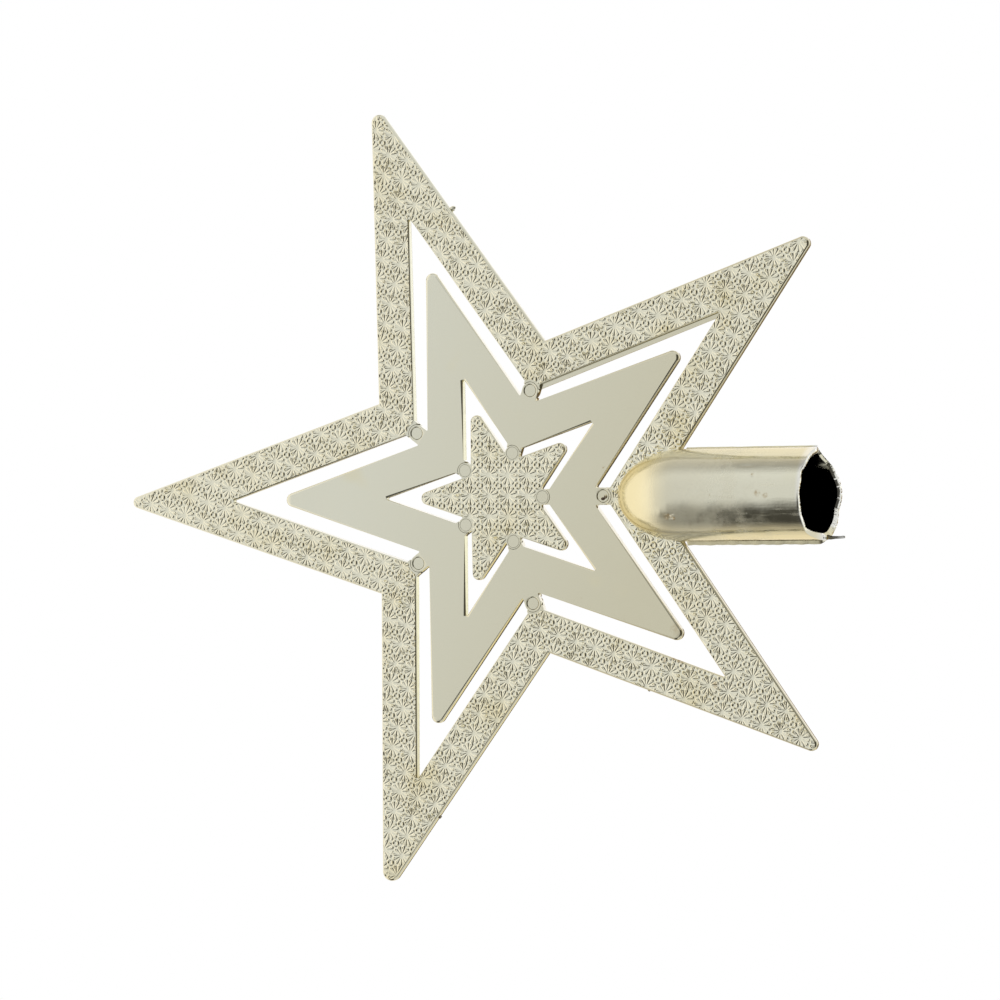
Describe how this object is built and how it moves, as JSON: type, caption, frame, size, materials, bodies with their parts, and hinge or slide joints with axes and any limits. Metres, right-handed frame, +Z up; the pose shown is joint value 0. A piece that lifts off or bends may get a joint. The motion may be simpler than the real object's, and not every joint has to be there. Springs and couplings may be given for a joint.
{
  "type": "star tree topper",
  "caption": "Flat openwork tree topper of nested stars in pale gold metallised plastic, with a round bullet-nosed socket that slips over the tree's top shoot.",
  "frame": {"origin": "centre of the socket's round mouth, in the plane of the back shell's rim", "axes": "+Z up the socket's axis towards the star's top tip; the stars lie in the XZ plane; -Y is their decorated front; +X is to the right when the front is seen upright"},
  "size_m": [0.1486, 0.0174, 0.1439],
  "materials": {
    "embossed_gold": "vacuum-metallised pale gold over an embossed flower pattern",
    "smooth_gold": "vacuum-metallised pale gold, smooth",
    "socket_gold": "vacuum-metallised pale gold, mirror-like",
    "pin_gold": "vacuum-metallised pale gold, smooth"
  },
  "bodies": {
    "root": {"outer_star": "embossed_gold", "middle_star": "smooth_gold", "inner_star": "embossed_gold", "outer_joint_pin_1": "pin_gold", "outer_joint_pin_2": "pin_gold", "outer_joint_pin_3": "pin_gold", "outer_joint_pin_4": "pin_gold", "outer_joint_pin_5": "pin_gold", "inner_joint_pin_1": "pin_gold", "inner_joint_pin_2": "pin_gold", "inner_joint_pin_3": "pin_gold", "inner_joint_pin_4": "pin_gold", "inner_joint_pin_5": "pin_gold", "socket_front_shell": "socket_gold", "socket_back_shell": "socket_gold"}
  },
  "joints": []
}
